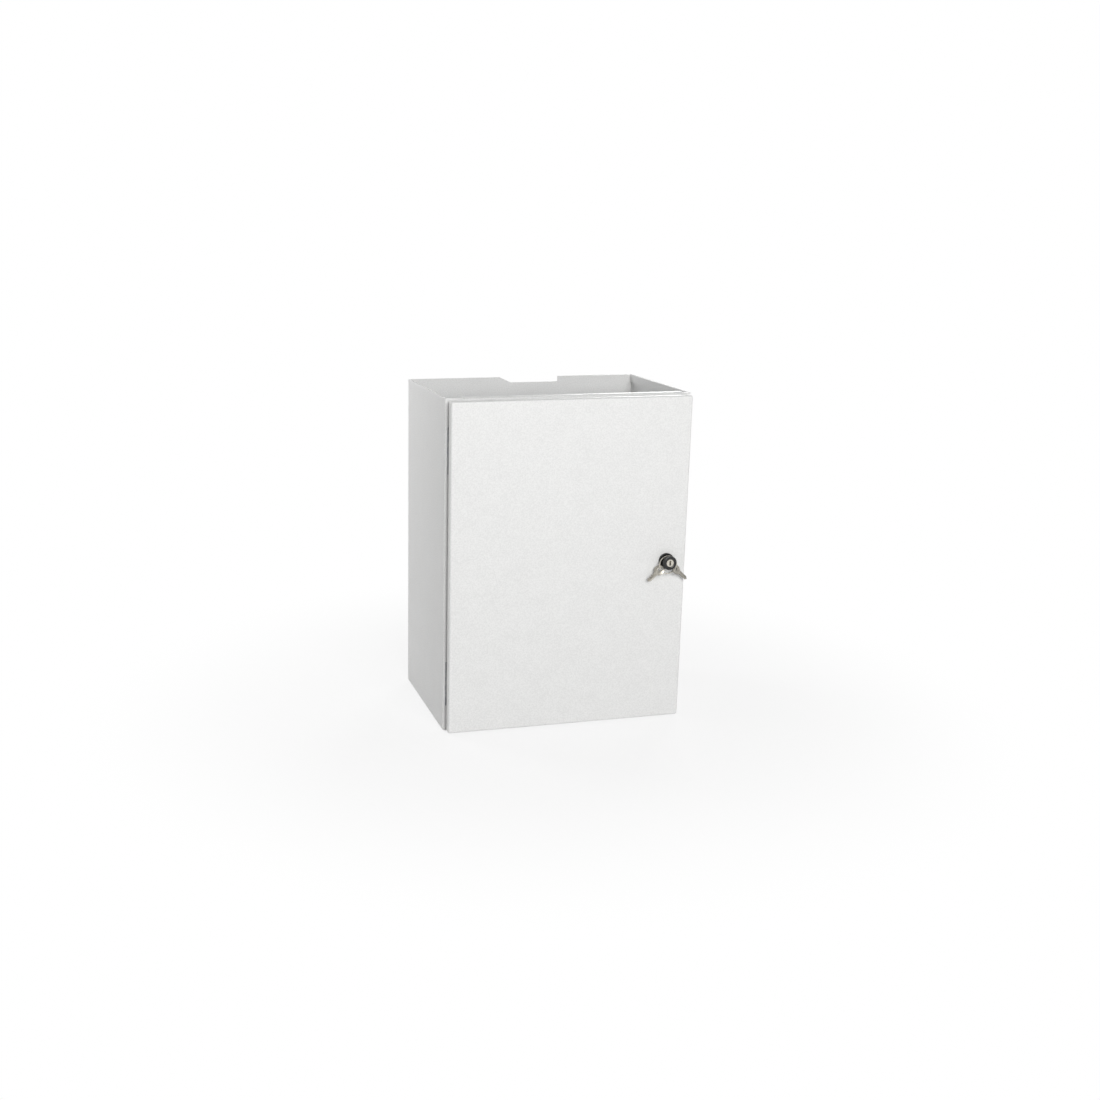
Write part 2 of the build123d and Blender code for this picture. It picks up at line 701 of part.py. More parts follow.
# Lock plug: turns in the housing, slotted for the key, with a square end that drives the cam
plug_face = lock_face + plug_recess
with BuildPart() as lock_plug:
    with BuildSketch(facing_front(housing_back)):
        with Locations((lock_x, 0)):
            Circle(plug_radius)
    extrude(amount=housing_back - plug_face)
    with BuildSketch(facing_front(cam_back - cam_clearance)):
        with Locations((lock_x, 0)):
            Rectangle(plug_square, plug_square)
    extrude(amount=cam_back - cam_clearance - housing_back)
    with BuildSketch(facing_front(plug_face + key_slot_depth)):
        with Locations((lock_x, 0)):
            SlotOverall(key_slot_height, key_slot_width, rotation=90)
    extrude(amount=key_slot_depth, mode=Mode.SUBTRACT)
    with BuildSketch(facing_front(cam_back)):
        with Locations((lock_x, 0)):
            Circle(cam_screw_radius + thread_clearance)
    extrude(amount=cam + cam_screw_grip, mode=Mode.SUBTRACT)
lock_plug.part.label = "lock_plug"
export_step(lock_plug.part, "parts/lock_plug.step")

# Cam: a flat steel tongue that hangs down when unlocked and turns behind the rim to lock
with BuildPart() as lock_cam:
    with BuildSketch(facing_front(cam_back)) as cam_outline:
        with Locations((lock_x, 0)):
            Circle(cam_hub_radius)
        with Locations((lock_x, -cam_reach / 2)):
            Rectangle(cam_width, cam_reach)
        fillet(cam_outline.vertices().group_by(Axis.Y)[0], cam_tip_round)
        with Locations((lock_x, 0)):
            Rectangle(plug_square + 2 * cam_clearance, plug_square + 2 * cam_clearance, mode=Mode.SUBTRACT)
    extrude(amount=cam)
lock_cam.part.label = "lock_cam"
export_step(lock_cam.part, "parts/lock_cam.step")

screw_seat = cam_back + cam_washer_thickness
with BuildPart() as cam_washer:
    with BuildSketch(facing_front(screw_seat)):
        with Locations((lock_x, 0)):
            Circle(cam_washer_radius)
            Circle(cam_screw_radius + hole_clearance, mode=Mode.SUBTRACT)
    extrude(amount=cam_washer_thickness)
cam_washer.part.label = "cam_washer"
export_step(cam_washer.part, "parts/cam_washer.step")

with BuildPart() as cam_screw:
    with BuildSketch(facing_front(screw_seat + cam_screw_head)):
        with Locations((lock_x, 0)):
            Circle(cam_screw_head_radius)
    extrude(amount=cam_screw_head)
    chamfer(cam_screw.faces().sort_by(Axis.Y)[-1].edges(), cam_screw_chamfer)
    with BuildSketch(facing_front(screw_seat)):
        with Locations((lock_x, 0)):
            Circle(cam_screw_radius)
    extrude(amount=cam_washer_thickness + cam + cam_screw_grip - screw_end_gap)
cam_screw.part.label = "cam_screw"
export_step(cam_screw.part, "parts/cam_screw.step")

# Split ring that hangs on the lock's neck and runs through the middle of both keys' holes
ring_y = neck_back - lock_neck / 2
fan = math.radians(key_fan)
neck_to_ring = lock_neck_radius + ring_gap + ring_width / 2
ring_at_key = key_start + key_hole_margin + key_hole_radius
ring_drop = (ring_at_key**2 - neck_to_ring**2) / (2 * (neck_to_ring + ring_at_key * math.cos(fan)))
ring_radius = neck_to_ring + ring_drop
with BuildPart() as key_ring:
    with BuildSketch(Plane.XY.offset(-ring_drop)) as ring_section:
        with Locations((lock_x + ring_radius, ring_y)):
            Rectangle(ring_width, ring_thickness)
        chamfer(ring_section.vertices(), ring_chamfer)
    revolve(axis=Axis((lock_x, ring_y, -ring_drop), (0, 1, 0)))
key_ring.part.label = "key_ring"
export_step(key_ring.part, "parts/key_ring.step")

# Two flat keys, fanned apart on the ring, each turned about its own length so that the ring passes through
key_tip = key_start + key_length
bow_centre = key_start + key_bow_radius
tilt = math.radians(key_tilt)
for name, side in (("key_left", -1), ("key_right", 1)):
    along_key = Vector(side * math.sin(fan), 0, -math.cos(fan))
    out_of_face = Vector(side * math.sin(tilt) * math.cos(fan), -math.cos(tilt), math.sin(tilt) * math.sin(fan))
    with BuildPart() as key:
        with BuildSketch(Plane(origin=(lock_x, ring_y, 0), x_dir=along_key, z_dir=out_of_face)) as key_outline:
            with Locations(((bow_centre + key_tip) / 2, 0)):
                Rectangle(key_tip - bow_centre, key_blade)
            chamfer(key_outline.vertices().group_by(Axis.X)[-1], key_point)
            with Locations((bow_centre, 0)):
                Circle(key_bow_radius)
            with Locations((ring_at_key, 0)):
                Circle(key_hole_radius, mode=Mode.SUBTRACT)
            for cut in range(key_cuts):
                with Locations((key_tip - key_point - (cut + 0.5) * key_cut_pitch, -key_blade / 2)):
                    RegularPolygon(key_cut_depth, 4, mode=Mode.SUBTRACT)
        extrude(amount=key_thickness / 2, both=True)
    key.part.label = name
    export_step(key.part, f"parts/{name}.step")
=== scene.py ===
import math

import bmesh
import bpy
from mathutils import Euler, Matrix, Vector, noise


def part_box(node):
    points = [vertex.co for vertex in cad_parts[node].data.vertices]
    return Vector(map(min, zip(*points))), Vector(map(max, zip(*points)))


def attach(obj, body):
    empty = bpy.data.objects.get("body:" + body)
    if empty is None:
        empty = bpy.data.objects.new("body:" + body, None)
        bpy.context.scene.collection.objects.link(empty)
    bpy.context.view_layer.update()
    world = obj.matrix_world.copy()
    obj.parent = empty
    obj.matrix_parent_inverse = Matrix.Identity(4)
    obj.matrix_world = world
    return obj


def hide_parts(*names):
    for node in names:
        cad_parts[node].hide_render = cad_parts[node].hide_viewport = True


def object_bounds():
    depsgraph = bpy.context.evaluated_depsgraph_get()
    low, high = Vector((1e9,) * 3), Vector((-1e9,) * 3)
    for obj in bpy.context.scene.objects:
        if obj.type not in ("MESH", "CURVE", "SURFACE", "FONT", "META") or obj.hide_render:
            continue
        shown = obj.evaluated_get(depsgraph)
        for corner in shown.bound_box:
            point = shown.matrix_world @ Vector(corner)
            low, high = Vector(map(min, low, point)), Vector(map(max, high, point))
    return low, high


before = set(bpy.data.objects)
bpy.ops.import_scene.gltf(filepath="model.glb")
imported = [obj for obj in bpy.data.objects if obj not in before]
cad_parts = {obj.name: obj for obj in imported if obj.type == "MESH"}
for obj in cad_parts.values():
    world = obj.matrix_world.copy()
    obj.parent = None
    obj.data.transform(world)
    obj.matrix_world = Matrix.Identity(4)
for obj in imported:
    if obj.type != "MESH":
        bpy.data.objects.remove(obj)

cad_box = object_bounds()


# Case: one sheet of 1.5 mm mild steel folded into two sides and a bottom, a rear wall welded between the
# sides and a folded rail across the front. It was sprayed with dry polyester powder and baked light grey.

def linear(hex_colour):
    """An sRGB hex colour as the linear values that a shader takes."""
    channels = [int(hex_colour[start:start + 2], 16) / 255 for start in (1, 3, 5)]
    return [c / 12.92 if c <= 0.04045 else ((c + 0.055) / 1.055) ** 2.4 for c in channels] + [1.0]


def add(tree, kind, sockets=None, stops=(), **settings):
    """Adds one node with its settings, gives a ramp its stops, and sets or links each named socket."""
    node = tree.nodes.new(kind)
    for name, value in settings.items():
        setattr(node, name, value)
    for number, (position, hex_colour) in enumerate(stops):
        node.color_ramp.elements[number].position = position
        node.color_ramp.elements[number].color = linear(hex_colour)
    for socket, value in (sockets or {}).items():
        if isinstance(value, bpy.types.NodeSocket):
            tree.links.new(value, node.inputs[socket])
        else:
            node.inputs[socket].default_value = value
    return node


def finish_named(name, **shader_values):
    """A new material: returns it, its node tree, its shader and the place on the object in metres."""
    material = bpy.data.materials.new(name)
    material.use_nodes = True
    tree = material.node_tree
    shader = tree.nodes["Principled BSDF"]
    for socket, value in shader_values.items():
        shader.inputs[socket.replace("_", " ").title().replace("Ior", "IOR")].default_value = value
    place = add(tree, "ShaderNodeTexCoord").outputs["Object"]
    return material, tree, shader, place


def every(millimetres):
    """The pattern scale that repeats about once in this many millimetres."""
    return 1000 / millimetres


def coat(material, *nodes):
    """Puts a material on CAD pieces."""
    for name in nodes:
        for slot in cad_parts[name].material_slots:
            slot.material = material


# Polyester powder bakes to a satin skin: orange peel about 2 mm across, and a speckle where the grains of
# powder melted unevenly. The grains are 0.05 mm, too fine to show, so the speckle is drawn 1.5 mm across.
# The spray leaves a faint cloud, 25 mm wide.
powder_coated_steel, tree, shader, place = finish_named("powder_coated_steel", roughness=0.46, ior=1.5)
cloud_share, speckle_share = 0.15, 0.85
cloud = add(tree, "ShaderNodeTexNoise", {"Vector": place, "Scale": every(25), "Detail": 2.0})
speckle = add(tree, "ShaderNodeTexNoise", {"Vector": place, "Scale": every(1.5), "Detail": 2.0})
tone = add(tree, "ShaderNodeMath", {0: cloud.outputs["Fac"], 1: cloud_share}, operation="MULTIPLY")
tone = add(
    tree, "ShaderNodeMath",
    {0: speckle.outputs["Fac"], 1: speckle_share, 2: tone.outputs[0]}, operation="MULTIPLY_ADD",
)
tint = add(
    tree, "ShaderNodeValToRGB", {"Fac": tone.outputs[0]}, stops=((0.35, "#DEDEDD"), (0.65, "#E9E9E8")),
)
tree.links.new(tint.outputs["Color"], shader.inputs["Base Color"])
peel = add(tree, "ShaderNodeTexNoise", {"Vector": place, "Scale": every(2.2), "Detail": 1.0})
bump = add(tree, "ShaderNodeBump", {"Height": peel.outputs["Fac"], "Strength": 0.5, "Distance": 0.00015})
tree.links.new(bump.outputs["Normal"], shader.inputs["Normal"])
coat(powder_coated_steel, "case_wrap", "rear_wall", "top_rail", "gland_plate", "door_panel")


# Mounting plate: 2 mm sheet that was hot-dip galvanised at the mill, its long edges folded back.
# The zinc froze on it into flat crystals, the spangle.

# Spangle crystals are about 9 mm across, each a little lighter or duller than the next
galvanised_steel, tree, shader, place = finish_named("galvanised_steel", metallic=1.0)
spangle = add(tree, "ShaderNodeTexVoronoi", {"Vector": place, "Scale": every(9)})
shade = add(tree, "ShaderNodeSeparateColor", {"Color": spangle.outputs["Color"]})
tint = add(
    tree, "ShaderNodeValToRGB", {"Fac": shade.outputs["Red"]}, stops=((0.0, "#B0B4B8"), (1.0, "#C9CDD0")),
)
tree.links.new(tint.outputs["Color"], shader.inputs["Base Color"])
rough = add(tree, "ShaderNodeMapRange", {"Value": shade.outputs["Green"], "To Min": 0.38, "To Max": 0.55})
tree.links.new(rough.outputs["Result"], shader.inputs["Roughness"])
coat(galvanised_steel, "mounting_plate")


# Plate studs: four M8 studs welded to the rear wall, with a turned spacer behind the mounting plate
# and a washer and a hexagon nut in front of it. Threads are rolled, nuts are cold-formed.

# Bright zinc plate is a clear bluish metal with cloudy patches about 5 mm wide where it was passivated
zinc_plated_steel, tree, shader, place = finish_named("zinc_plated_steel", metallic=1.0)
cloud = add(tree, "ShaderNodeTexNoise", {"Vector": place, "Scale": every(5), "Detail": 3.0})
tint = add(
    tree, "ShaderNodeValToRGB", {"Fac": cloud.outputs["Fac"]}, stops=((0.35, "#B4B7BC"), (0.65, "#D3D4D2")),
)
tree.links.new(tint.outputs["Color"], shader.inputs["Base Color"])
rough = add(tree, "ShaderNodeMapRange", {"Value": cloud.outputs["Fac"], "To Min": 0.24, "To Max": 0.4})
tree.links.new(rough.outputs["Result"], shader.inputs["Roughness"])
coat(
    zinc_plated_steel,
    "plate_spacers", "hinge_case_leaves", "hinge_pins", "hinge_door_leaves", "lock_cam", "cam_washer",
)

# Turned pieces are drawn along z, and these turns point them forward, back into the case, or up
out_of_wall = Matrix.Rotation(math.pi / 2, 4, "X")
into_case = Matrix.Rotation(-math.pi / 2, 4, "X")
upright = Matrix.Identity(4)


def turned(rings, ring_closed, steps=48):
    """Points and faces turned about z from rings: a radius and height in mm, or a function of the angle."""
    points = []
    for ring in rings:
        for step in range(steps):
            angle = 2 * math.pi * step / steps
            radius, height = ring(angle) if callable(ring) else ring
            points.append((radius * math.cos(angle) / 1000, radius * math.sin(angle) / 1000, height / 1000))
    faces = []
    for row in range(len(rings) if ring_closed else len(rings) - 1):
        low, high = row * steps, (row + 1) % len(rings) * steps
        for step in range(steps):
            after = (step + 1) % steps
            faces.append((low + step, low + after, high + after, high + step))
    if not ring_closed:
        faces.append(tuple(reversed(range(steps))))
        faces.append(tuple(range(len(points) - steps, len(points))))
    return points, faces


def hexagon(across_flats, angle):
    """The radius of a hexagon at an angle, with a corner at angle nought."""
    return across_flats / 2 / math.cos(angle % (math.pi / 3) - math.pi / 6)


def hex_nut(across_flats, height, bore, flange=0.0):
    """A nut with its corners turned off at 30 degrees, a countersunk bore, and a flange if it has one."""
    face_share, sink = 0.96, 0.35
    face_radius = across_flats / 2 * face_share

    def turned_off(angle):
        return max(0.0, hexagon(across_flats, angle) - face_radius) * math.tan(math.radians(30))

    def corner(angle):
        return hexagon(across_flats, angle)

    if flange:
        flange_edge, flange_slope, flange_top, hexagon_foot = 0.7, 0.9, 1.3, 1.35
        foot = [
            (flange, 0.0), (flange, flange_edge),
            lambda angle: (max(corner(angle), flange - flange_slope), flange_top),
            lambda angle: (corner(angle), hexagon_foot),
        ]
    else:
        foot = [(face_radius, 0.0), lambda angle: (corner(angle), turned_off(angle))]
    top = [lambda angle: (corner(angle), height - turned_off(angle)), (face_radius, height)]
    hole = [(bore + sink, height), (bore, height - sink), (bore, sink), (bore + sink, 0.0)]
    return turned(foot + top + hole, True)


def threaded(radius, pitch, start, end, tip):
    """Rings of a rolled thread from one height to another. The tip is turned down over its last stretch."""
    depth_share, rings_per_turn = 0.6, 6
    thread_depth = depth_share * pitch
    count = int(abs(end - start) / pitch * rings_per_turn)
    rings = []
    for row in range(count + 1):
        height = start + (end - start) * row / count

        def ring(angle, height=height):
            flank = thread_depth * abs(2 * ((height / pitch - angle / 2 / math.pi) % 1) - 1)
            return min(radius - flank, radius - tip + abs(end - height)), height

        rings.append(ring)
    return rings


def made(name, body, material, replaced, turn, centres, shape):
    """One object of like pieces, each turned and set at its centre, which stands for CAD nodes."""
    points, faces = shape
    mesh = bpy.data.meshes.new(name)
    all_points, all_faces = [], []
    for centre in centres:
        first = len(all_points)
        all_points += [turn @ Vector(point) + Vector(centre) for point in points]
        all_faces += [tuple(first + corner for corner in face) for face in faces]
    mesh.from_pydata(all_points, [], all_faces)
    mesh.polygons.foreach_set("use_smooth", [True] * len(mesh.polygons))
    mesh.set_sharp_from_angle(angle=math.radians(32))
    mesh.materials.append(material)
    piece = bpy.data.objects.new(name, mesh)
    bpy.context.scene.collection.objects.link(piece)
    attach(piece, body)
    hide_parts(*replaced)
    return piece


def four_of(node, inset, y):
    """The centres of four like pieces in the corners of a node's box, at a depth, all in metres."""
    low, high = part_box(node)
    return [(x, y, z) for x in (low.x + inset, high.x - inset) for z in (low.z + inset, high.z - inset)]


# Profiles are in mm, while boxes, insets and centres are in metres
plate_stud_radius = 4.0
plate_stud_inset = plate_stud_radius / 1000
low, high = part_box("plate_studs")
stud_length = (high.y - low.y) * 1000
plain_end, thread_start = stud_length - 13.0, stud_length - 12.5
stud_rings = [(plate_stud_radius, 0.0), (plate_stud_radius, plain_end)]
stud_rings += threaded(plate_stud_radius, pitch=1.25, start=thread_start, end=stud_length, tip=0.8)
made(
    "threaded_plate_studs", "case", zinc_plated_steel, ["plate_studs"], out_of_wall,
    four_of("plate_studs", plate_stud_inset, high.y), turned(stud_rings, False, steps=32),
)
low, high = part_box("plate_washers")
washer_rings = [(7.8, 0.0), (8.0, 0.25), (8.0, 1.2), (7.6, 1.6), (4.5, 1.6), (4.3, 1.4), (4.3, 0.0)]
made(
    "stamped_plate_washers", "case", zinc_plated_steel, ["plate_washers"], out_of_wall,
    four_of("plate_studs", plate_stud_inset, high.y), turned(washer_rings, True),
)
low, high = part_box("plate_nuts")
made(
    "formed_plate_nuts", "case", zinc_plated_steel, ["plate_nuts"], out_of_wall,
    four_of("plate_studs", plate_stud_inset, high.y), hex_nut(across_flats=12.64, height=6.5, bore=4.1),
)


# Gland plate fixings: four M5 studs welded to the bottom and their nuts, round the blank plate for cable
# glands. The plate itself is powder coated like the case.

gland_stud_radius = 2.5
gland_inset = gland_stud_radius / 1000
low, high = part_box("gland_studs")
gland_x, gland_y = (low.x + gland_inset, high.x - gland_inset), (low.y + gland_inset, high.y - gland_inset)
stud_rings = [(gland_stud_radius, 0.0), (gland_stud_radius, 3.5)]
stud_rings += threaded(gland_stud_radius, pitch=0.8, start=3.8, end=10.0, tip=0.5)
made(
    "threaded_gland_studs", "case", zinc_plated_steel, ["gland_studs"], upright,
    [(x, y, low.z) for x in gland_x for y in gland_y], turned(stud_rings, False, steps=24),
)
low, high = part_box("gland_nuts")
made(
    "formed_gland_nuts", "case", zinc_plated_steel, ["gland_nuts"], upright,
    [(x, y, low.z) for x in gland_x for y in gland_y], hex_nut(across_flats=7.967, height=4.0, bore=2.6),
)


# Earth studs: an M6 stud on the rear wall and one on the door, each with a flanged nut for an earth strap.
# The studs are welded, the nuts cold-formed, and both are zinc plated.

earth_stud_radius = 3.0
for stud, nut, body, turn in (
    ("earth_stud", "earth_nut", "case", out_of_wall),
    ("door_earth_stud", "door_earth_nut", "door", into_case),
):
    low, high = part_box(stud)
    foot = high.y if turn is out_of_wall else low.y
    centre = [((low.x + high.x) / 2, foot, (low.z + high.z) / 2)]
    length = (high.y - low.y) * 1000
    stud_rings = [(earth_stud_radius, 0.0), (earth_stud_radius, 1.5)]
    stud_rings += threaded(earth_stud_radius, pitch=1.0, start=2.0, end=length, tip=0.6)
    made(
        "threaded_" + stud, body, zinc_plated_steel, [stud], turn, centre,
        turned(stud_rings, False, steps=32),
    )
    made(
        "flanged_" + nut, body, zinc_plated_steel, [nut], turn, centre,
        hex_nut(across_flats=9.87, height=5.0, bore=3.1, flange=6.5),
    )


# Hinge fixings: countersunk socket screws and nuts hold the case leaves to the rim, and studs welded to the
# door's skin with nuts hold the door leaves. The rolled leaves and their pins are plated steel as well.

screw_inset, screw_pitch = 0.0034, 0.038
low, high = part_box("hinge_screws")
screw_x = (low.x + high.x) / 2
screw_z = [side * (high.z - screw_inset - down) for side in (-1, 1) for down in (0.0, screw_pitch)]
screw_thread = threaded(radius=2.0, pitch=0.7, start=-2.2, end=-9.0, tip=0.4)
screw_rings = list(reversed(screw_thread)) + [(2.0, -1.45), (3.4, -0.1), (3.3, 0.0)]
screw_rings += [lambda angle: (hexagon(2.6, angle), 0.0), lambda angle: (hexagon(2.5, angle), -1.3)]
made(
    "socket_hinge_screws", "case", zinc_plated_steel, ["hinge_screws"], out_of_wall,
    [(screw_x, low.y, z) for z in screw_z], turned(screw_rings, False, steps=24),
)
low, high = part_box("hinge_screw_nuts")
made(
    "formed_hinge_nuts", "case", zinc_plated_steel, ["hinge_screw_nuts"], into_case,
    [(screw_x, low.y, z) for z in screw_z], hex_nut(across_flats=6.928, height=3.2, bore=2.1),
)

door_stud_inset, door_stud_pitch = 0.002, 0.057
low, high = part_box("door_hinge_studs")
door_stud_x = (low.x + high.x) / 2
door_stud_z = [
    side * (high.z - door_stud_inset - down) for side in (-1, 1) for down in (0.0, door_stud_pitch)
]
stud_rings = [(2.0, 0.0), (2.0, 1.2)] + threaded(radius=2.0, pitch=0.7, start=1.4, end=5.9, tip=0.4)
made(
    "threaded_hinge_studs", "door", zinc_plated_steel, ["door_hinge_studs"], into_case,
    [(door_stud_x, low.y, z) for z in door_stud_z], turned(stud_rings, False, steps=24),
)
low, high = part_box("door_hinge_nuts")
made(
    "formed_door_hinge_nuts", "door", zinc_plated_steel, ["door_hinge_nuts"], into_case,
    [(door_stud_x, low.y, z) for z in door_stud_z], hex_nut(across_flats=6.928, height=3.2, bore=2.1),
)


# Door seal: a bead of polyurethane foam poured onto the door's skin in one round, which rises as it sets.
# Its two ends knit together at the middle of the bottom run.

# The skin of the foam is matt and dimpled by pores about 1 mm apart
poured_foam, tree, shader, place = finish_named("poured_foam", roughness=0.85, ior=1.5)
pore_dimples_and_painted_shade = add(tree, "ShaderNodeTexVoronoi", {"Vector": place, "Scale": every(1.0)})
# Painted shade: the foam's colour darkens towards the middle of each pore, where the dimple is deepest
tint = add(
    tree, "ShaderNodeValToRGB",
    {"Fac": pore_dimples_and_painted_shade.outputs["Distance"]}, stops=((0.0, "#141414"), (1.0, "#2B2B2B")),
)
tree.links.new(tint.outputs["Color"], shader.inputs["Base Color"])
bump = add(tree, "ShaderNodeBump", {"Height": pore_dimples_and_painted_shade.outputs["Distance"], "Strength": 0.5, "Distance": 0.0002})
tree.links.new(bump.outputs["Normal"], shader.inputs["Normal"])


def rounded_loop(width, length, radius, step):
    """Points in mm round a rounded rectangle from its low middle, each with its outward direction."""
    half_width, half_length = width / 2 - radius, length / 2 - radius
    stretches = []
    for corner, (x, y) in enumerate(((1, -1), (1, 1), (-1, 1), (-1, -1))):
        centre = Vector((x * half_width, y * half_length))
        for bend in range(7):
            angle = math.radians(-90 + 90 * corner + 15 * bend)
            outward = Vector((math.cos(angle), math.sin(angle)))
            stretches.append((centre + radius * outward, outward))
    middle = (Vector((0.0, -length / 2)), Vector((0.0, -1.0)))
    stretches = [middle] + stretches + [middle]
    loop = []
    for (start, outward), (end, next_outward) in zip(stretches, stretches[1:]):
        pieces = max(1, round((end - start).length / step))
        for piece in range(pieces):
            share = piece / pieces
            loop.append((start.lerp(end, share), outward.lerp(next_outward, share).normalized()))
    return loop


low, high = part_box("door_seal")
bead_width, bead_height = 8.0, (high.y - low.y) * 1000
bead_arc = 12
bead_squareness = 0.7
waver_length, knit_depth, knit_width = 25, 0.12, 2.5
loop = rounded_loop(
    (high.x - low.x) * 1000 - bead_width, (high.z - low.z) * 1000 - bead_width, radius=6.0, step=4.0,
)
bead_points, bead_faces = [], []
for spot, outward in loop:
    waver = noise.noise(Vector((spot.x / waver_length, spot.y / waver_length, 0.0)))
    fullness = 0.97 + 0.03 * waver
    knit = knit_depth * math.exp(-((spot.x / knit_width) ** 2)) if spot.y < 0 else 0.0
    for turn in range(bead_arc + 1):
        angle = math.pi * turn / bead_arc
        sideways = math.copysign(abs(math.cos(angle)) ** bead_squareness, math.cos(angle))
        rise = math.sin(angle) ** bead_squareness if 0 < turn < bead_arc else 0.0
        point = spot + outward * (sideways * bead_width / 2 * fullness)
        bead_points.append((point.x / 1000, rise * bead_height * (fullness - knit) / 1000, point.y / 1000))
for row in range(len(loop)):
    this_row, next_row = row * (bead_arc + 1), (row + 1) % len(loop) * (bead_arc + 1)
    for turn in range(bead_arc + 1):
        after = (turn + 1) % (bead_arc + 1)
        bead_faces.append((this_row + turn, this_row + after, next_row + after, next_row + turn))
made(
    "poured_door_seal", "door", poured_foam, ["door_seal"], upright,
    [((low.x + high.x) / 2, low.y, (low.z + high.z) / 2)], (bead_points, bead_faces),
)


# Flat seals: rubber sheet, die cut, under the gland plate and under the lock's flange.
# Cutting leaves their edges slightly eased.

# Rubber sheet is black and satin, with the bloom of its calender rolls in patches about 8 mm wide
calendered_rubber, tree, shader, place = finish_named("calendered_rubber", roughness=0.6, ior=1.52)
bloom = add(tree, "ShaderNodeTexNoise", {"Vector": place, "Scale": every(8), "Detail": 3.0})
tint = add(
    tree, "ShaderNodeValToRGB", {"Fac": bloom.outputs["Fac"]}, stops=((0.35, "#121212"), (0.65, "#262625")),
)
tree.links.new(tint.outputs["Color"], shader.inputs["Base Color"])
rough = add(tree, "ShaderNodeMapRange", {"Value": bloom.outputs["Fac"], "To Min": 0.5, "To Max": 0.72})
tree.links.new(rough.outputs["Result"], shader.inputs["Roughness"])


def cut_sheet(loops, thickness, edge):
    """A flat piece cut to its loops, the outer one first, with its edges eased. All sizes are in mm."""
    outline = bpy.data.curves.new("outline", "CURVE")
    outline.dimensions = "2D"
    outline.fill_mode = "BOTH"
    outline.extrude = (thickness / 2 - edge) / 1000
    outline.bevel_depth = edge / 1000
    outline.bevel_resolution = 1
    outline.offset = -edge / 1000
    for loop in loops:
        spline = outline.splines.new("POLY")
        spline.points.add(len(loop) - 1)
        spline.use_cyclic_u = True
        for point, (x, y) in zip(spline.points, loop):
            point.co = (x / 1000, y / 1000, 0.0, 1.0)
    holder = bpy.data.objects.new("outline", outline)
    flat = bpy.data.meshes.new_from_object(holder)
    bpy.data.objects.remove(holder)
    whole = bmesh.new()
    whole.from_mesh(flat)
    bmesh.ops.remove_doubles(whole, verts=whole.verts, dist=1e-6)
    points = [vertex.co.copy() for vertex in whole.verts]
    faces = [tuple(vertex.index for vertex in face.verts) for face in whole.faces]
    whole.free()
    return points, faces


def circle(x, y, radius, steps=32):
    """The points of a circle in mm."""
    turns = [2 * math.pi * step / steps for step in range(steps)]
    return [(x + radius * math.cos(turn), y + radius * math.sin(turn)) for turn in turns]


seal_border, seal_corner, seal_hole = 20.0, 4.0, 2.8
low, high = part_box("gland_seal")
seal_width, seal_length = (high.x - low.x) * 1000, (high.y - low.y) * 1000
outside = rounded_loop(seal_width, seal_length, seal_corner, step=30.0)
inside = rounded_loop(seal_width - 2 * seal_border, seal_length - 2 * seal_border, seal_corner, step=30.0)
seal_loops = [[spot for spot, outward in edge] for edge in (outside, inside)]
for x in (-1, 1):
    for y in (-1, 1):
        hole_x, hole_y = x * (seal_width - seal_border) / 2, y * (seal_length - seal_border) / 2
        seal_loops.append(circle(hole_x, hole_y, seal_hole, steps=24))
made(
    "cut_gland_seal", "case", calendered_rubber, ["gland_seal"], upright,
    [tuple((low + high) / 2)], cut_sheet(seal_loops, (high.z - low.z) * 1000, edge=0.3),
)
low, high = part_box("lock_washer")
washer_rings = [(9.2, 0.0), (9.45, 0.2), (9.5, 0.5), (9.45, 0.8), (9.2, 1.0)]
washer_rings += [(8.4, 1.0), (8.2, 0.8), (8.2, 0.2), (8.4, 0.0)]
made(
    "cut_lock_washer", "door", calendered_rubber, ["lock_washer"], out_of_wall,
    [((low.x + high.x) / 2, high.y, 0.0)], turned(washer_rings, True),
)


# Lock housing: a zinc die casting with a fine thread through the door, a flange, a neck for the key ring
# and a round collar at its face, lacquered black. A thin nut clamps it.

# Lacquer over a casting is glossy, with a soft unevenness about 3 mm across
black_lacquered_zinc, tree, shader, place = finish_named("black_lacquered_zinc", ior=1.5)
flow = add(tree, "ShaderNodeTexNoise", {"Vector": place, "Scale": every(3), "Detail": 2.0})
tint = add(
    tree, "ShaderNodeValToRGB", {"Fac": flow.outputs["Fac"]}, stops=((0.0, "#0B0B0C"), (1.0, "#1A1A1B")),
)
tree.links.new(tint.outputs["Color"], shader.inputs["Base Color"])
rough = add(tree, "ShaderNodeMapRange", {"Value": flow.outputs["Fac"], "To Min": 0.2, "To Max": 0.34})
tree.links.new(rough.outputs["Result"], shader.inputs["Roughness"])

low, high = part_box("lock_housing")
lock_centre = [((low.x + high.x) / 2, high.y, 0.0)]
housing_thread = threaded(radius=8.0, pitch=1.0, start=15.3, end=0.3, tip=0.5)
lock_rings = [(4.55, 0.0), (7.2, 0.0)] + list(reversed(housing_thread)) + [(8.0, 15.8), (8.0, 17.8)]
flange_and_neck = [(9.3, 17.8), (9.5, 18.0), (9.5, 19.4), (9.1, 19.8), (6.7, 19.8), (6.5, 20.0), (6.5, 27.4)]
collar = [(8.1, 27.4), (8.5, 27.8), (8.5, 29.3), (8.42, 29.75), (8.2, 30.1), (7.85, 30.33), (7.4, 30.4)]
mouth = [(5.6, 30.4), (5.2, 30.15), (4.75, 30.1), (4.55, 29.9)]
made(
    "cast_lock_housing", "door", black_lacquered_zinc, ["lock_housing"], out_of_wall,
    lock_centre, turned(lock_rings + flange_and_neck + collar + mouth, True, steps=72),
)
low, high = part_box("lock_nut")
made(
    "formed_lock_nut", "door", zinc_plated_steel, ["lock_nut"], into_case,
    [((low.x + high.x) / 2, low.y, 0.0)], hex_nut(across_flats=20.785, height=5.0, bore=8.1),
)


